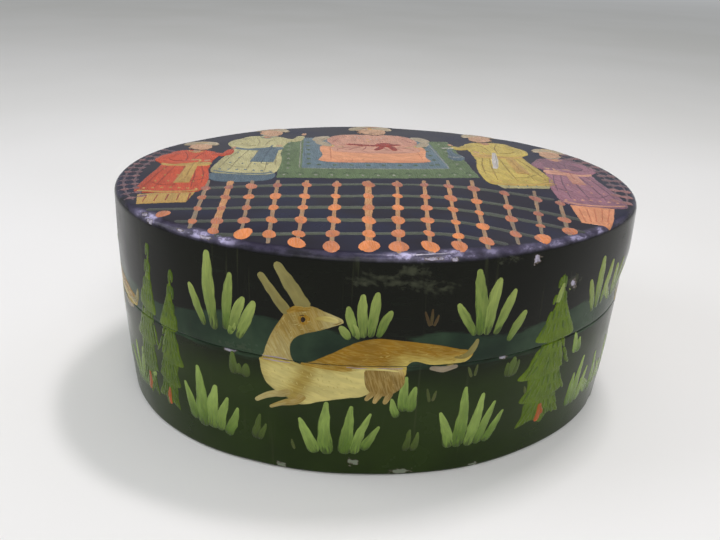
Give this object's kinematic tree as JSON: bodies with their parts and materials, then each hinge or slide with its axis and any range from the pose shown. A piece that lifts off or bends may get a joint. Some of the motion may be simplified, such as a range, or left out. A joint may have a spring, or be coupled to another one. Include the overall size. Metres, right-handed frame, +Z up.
{
  "type": "oval lidded box",
  "caption": "Oval papier-mache box with a lift-off lid guided by an inner collar, flat underside, slightly bellied wall and softly rounded rim.",
  "frame": {"origin": "middle of the flat underside", "axes": "+X along the oval, +Y across it towards the unseen back, +Z up through the lid"},
  "size_m": [0.152, 0.1194, 0.0632],
  "materials": {
    "underside_lacquer": "satin",
    "base_lacquer": "satin",
    "collar_board": "matte",
    "lid_side_lacquer": "satin",
    "lid_top_lacquer": "satin"
  },
  "bodies": {
    "base": {"base_board": "underside_lacquer", "base_wall": "base_lacquer", "collar": "collar_board"},
    "lid": {"lid_wall": "lid_side_lacquer", "lid_board": "lid_top_lacquer"}
  },
  "joints": [
    {"name": "lid_lift", "type": "slide", "parent": "base", "child": "lid", "axis": [0, 0, 1], "range_m": [0, 0.08]}
  ]
}
